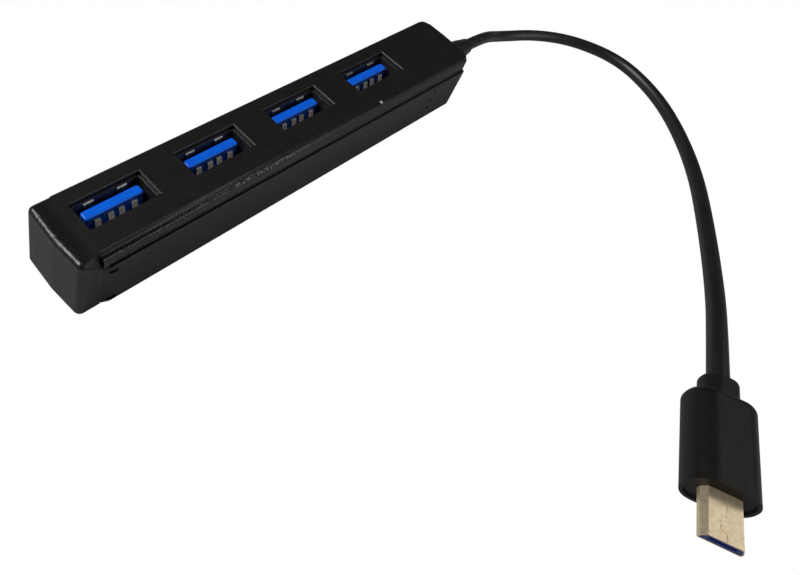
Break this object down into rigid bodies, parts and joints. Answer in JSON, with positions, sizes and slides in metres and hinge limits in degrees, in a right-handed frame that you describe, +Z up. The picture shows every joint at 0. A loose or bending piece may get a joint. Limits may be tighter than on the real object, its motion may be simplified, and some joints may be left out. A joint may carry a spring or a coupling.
{
  "type": "usb hub",
  "caption": "Slim bar-shaped USB hub with a row of upward-facing type A sockets, a small indicator and a short captive lead to a micro-B plug.",
  "frame": {"origin": "middle of the bar's underside", "axes": "+X along the bar towards the lead, +Y away from the indicator, +Z up out of the sockets"},
  "size_m": [0.1518, 0.1046, 0.0125],
  "materials": {
    "cover_plastic": "fine matte top, leather grain on the shoulders",
    "tray_plastic": "fine matte",
    "board_laminate": "solder mask",
    "chip_resin": "matte",
    "tinned_metal": "tinned",
    "ceramic": "matte",
    "led_body": "satin",
    "light_rod": "clear",
    "soft_pvc": "satin",
    "cable_jacket": "satin",
    "wire_insulation": "satin",
    "socket_metal": "polished nickel",
    "socket_blue": "satin",
    "contact_gold": "polished",
    "plug_gloss": "gloss",
    "plug_metal": "polished nickel",
    "plug_blue": "satin"
  },
  "bodies": {
    "root": {"top_cover": "cover_plastic", "bottom_cover": "tray_plastic", "circuit_board": "board_laminate", "usb_a_shell_1": "socket_metal", "usb_a_tongue_1": "socket_blue", "usb_a_contacts_1": "contact_gold", "usb_a_shell_2": "socket_metal", "usb_a_tongue_2": "socket_blue", "usb_a_contacts_2": "contact_gold", "usb_a_shell_3": "socket_metal", "usb_a_tongue_3": "socket_blue", "usb_a_contacts_3": "contact_gold", "usb_a_shell_4": "socket_metal", "usb_a_tongue_4": "socket_blue", "usb_a_contacts_4": "contact_gold", "hub_controller_chip": "chip_resin", "chip_leads": "tinned_metal", "crystal": "tinned_metal", "capacitors": "ceramic", "resistors": "chip_resin", "status_led": "led_body", "led_light_pipe": "light_rod", "hub_strain_relief": "soft_pvc", "cable_root": "cable_jacket", "lead_wires": "wire_insulation", "cable": "cable_jacket", "plug_core": "plug_gloss", "plug_sleeve": "plug_gloss", "plug_shell": "plug_metal", "plug_insulator": "plug_blue", "plug_contacts": "contact_gold"}
  },
  "joints": []
}
